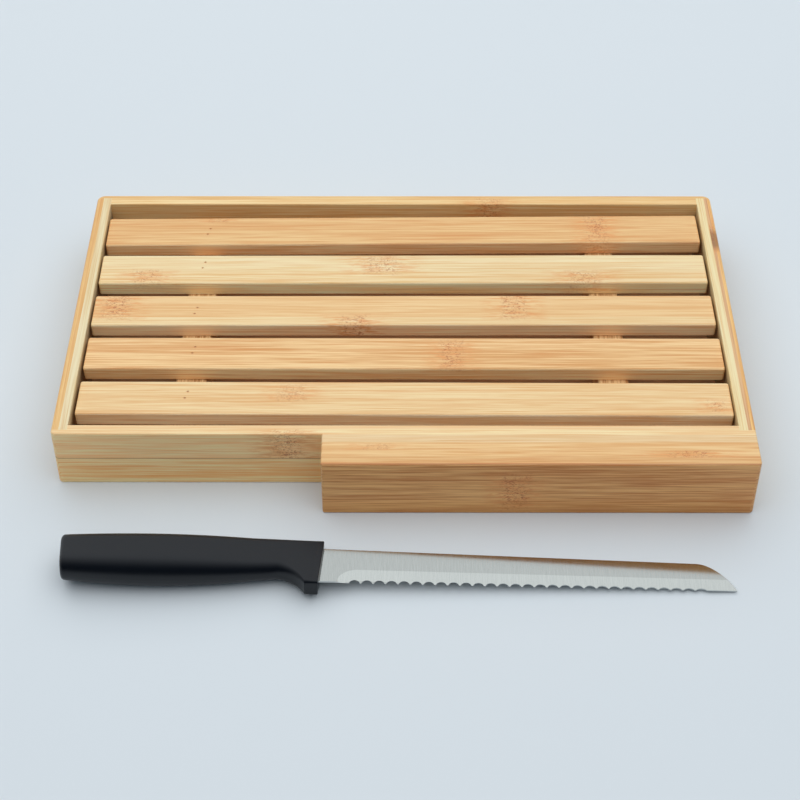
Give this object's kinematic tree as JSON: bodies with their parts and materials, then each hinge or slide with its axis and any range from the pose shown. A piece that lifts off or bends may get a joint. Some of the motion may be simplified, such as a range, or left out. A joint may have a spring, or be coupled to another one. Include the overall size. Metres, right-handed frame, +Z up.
{
  "type": "bread board with knife",
  "caption": "Shallow bamboo crumb tray with a loose slatted grate, a knife block with a hidden slot along its front rail, and a serrated knife with a dark handle lying before it.",
  "frame": {"origin": "on the table, under the middle of the tray (the middle of the floor panel's underside)", "axes": "+X along the slats, to the right as the user stands; +Y from the knife block to the rear rail; +Z up"},
  "size_m": [0.36, 0.2781, 0.0358],
  "materials": {
    "rail_bamboo": "satin",
    "block_bamboo": "satin",
    "floor_bamboo": "matt",
    "slat_bamboo": "satin",
    "batten_bamboo": "matt",
    "brad_steel": "dull",
    "handle_plastic": "fine grained",
    "blade_steel": "satin, ground across"
  },
  "bodies": {
    "tray": {"front_rail_lower": "rail_bamboo", "front_rail_upper": "rail_bamboo", "rear_rail": "rail_bamboo", "left_rail_inner": "rail_bamboo", "left_rail_outer": "rail_bamboo", "right_rail_inner": "rail_bamboo", "right_rail_outer": "rail_bamboo", "block_back_strip": "block_bamboo", "block_front_bar": "block_bamboo", "crumb_floor": "floor_bamboo"},
    "grate": {"slat_1": "slat_bamboo", "slat_2": "slat_bamboo", "slat_3": "slat_bamboo", "slat_4": "slat_bamboo", "slat_5": "slat_bamboo", "batten_left": "batten_bamboo", "batten_right": "batten_bamboo", "brads": "brad_steel"},
    "knife": {"knife_handle": "handle_plastic", "knife_blade": "blade_steel"}
  },
  "joints": [
    {"name": "grate_lift", "type": "slide", "parent": "tray", "child": "grate", "axis": [0, 0, 1], "range_m": [0, 0.06]},
    {"name": "knife_lift", "type": "slide", "parent": "tray", "child": "knife", "axis": [0, 0, 1], "range_m": [0, 0.06]}
  ]
}
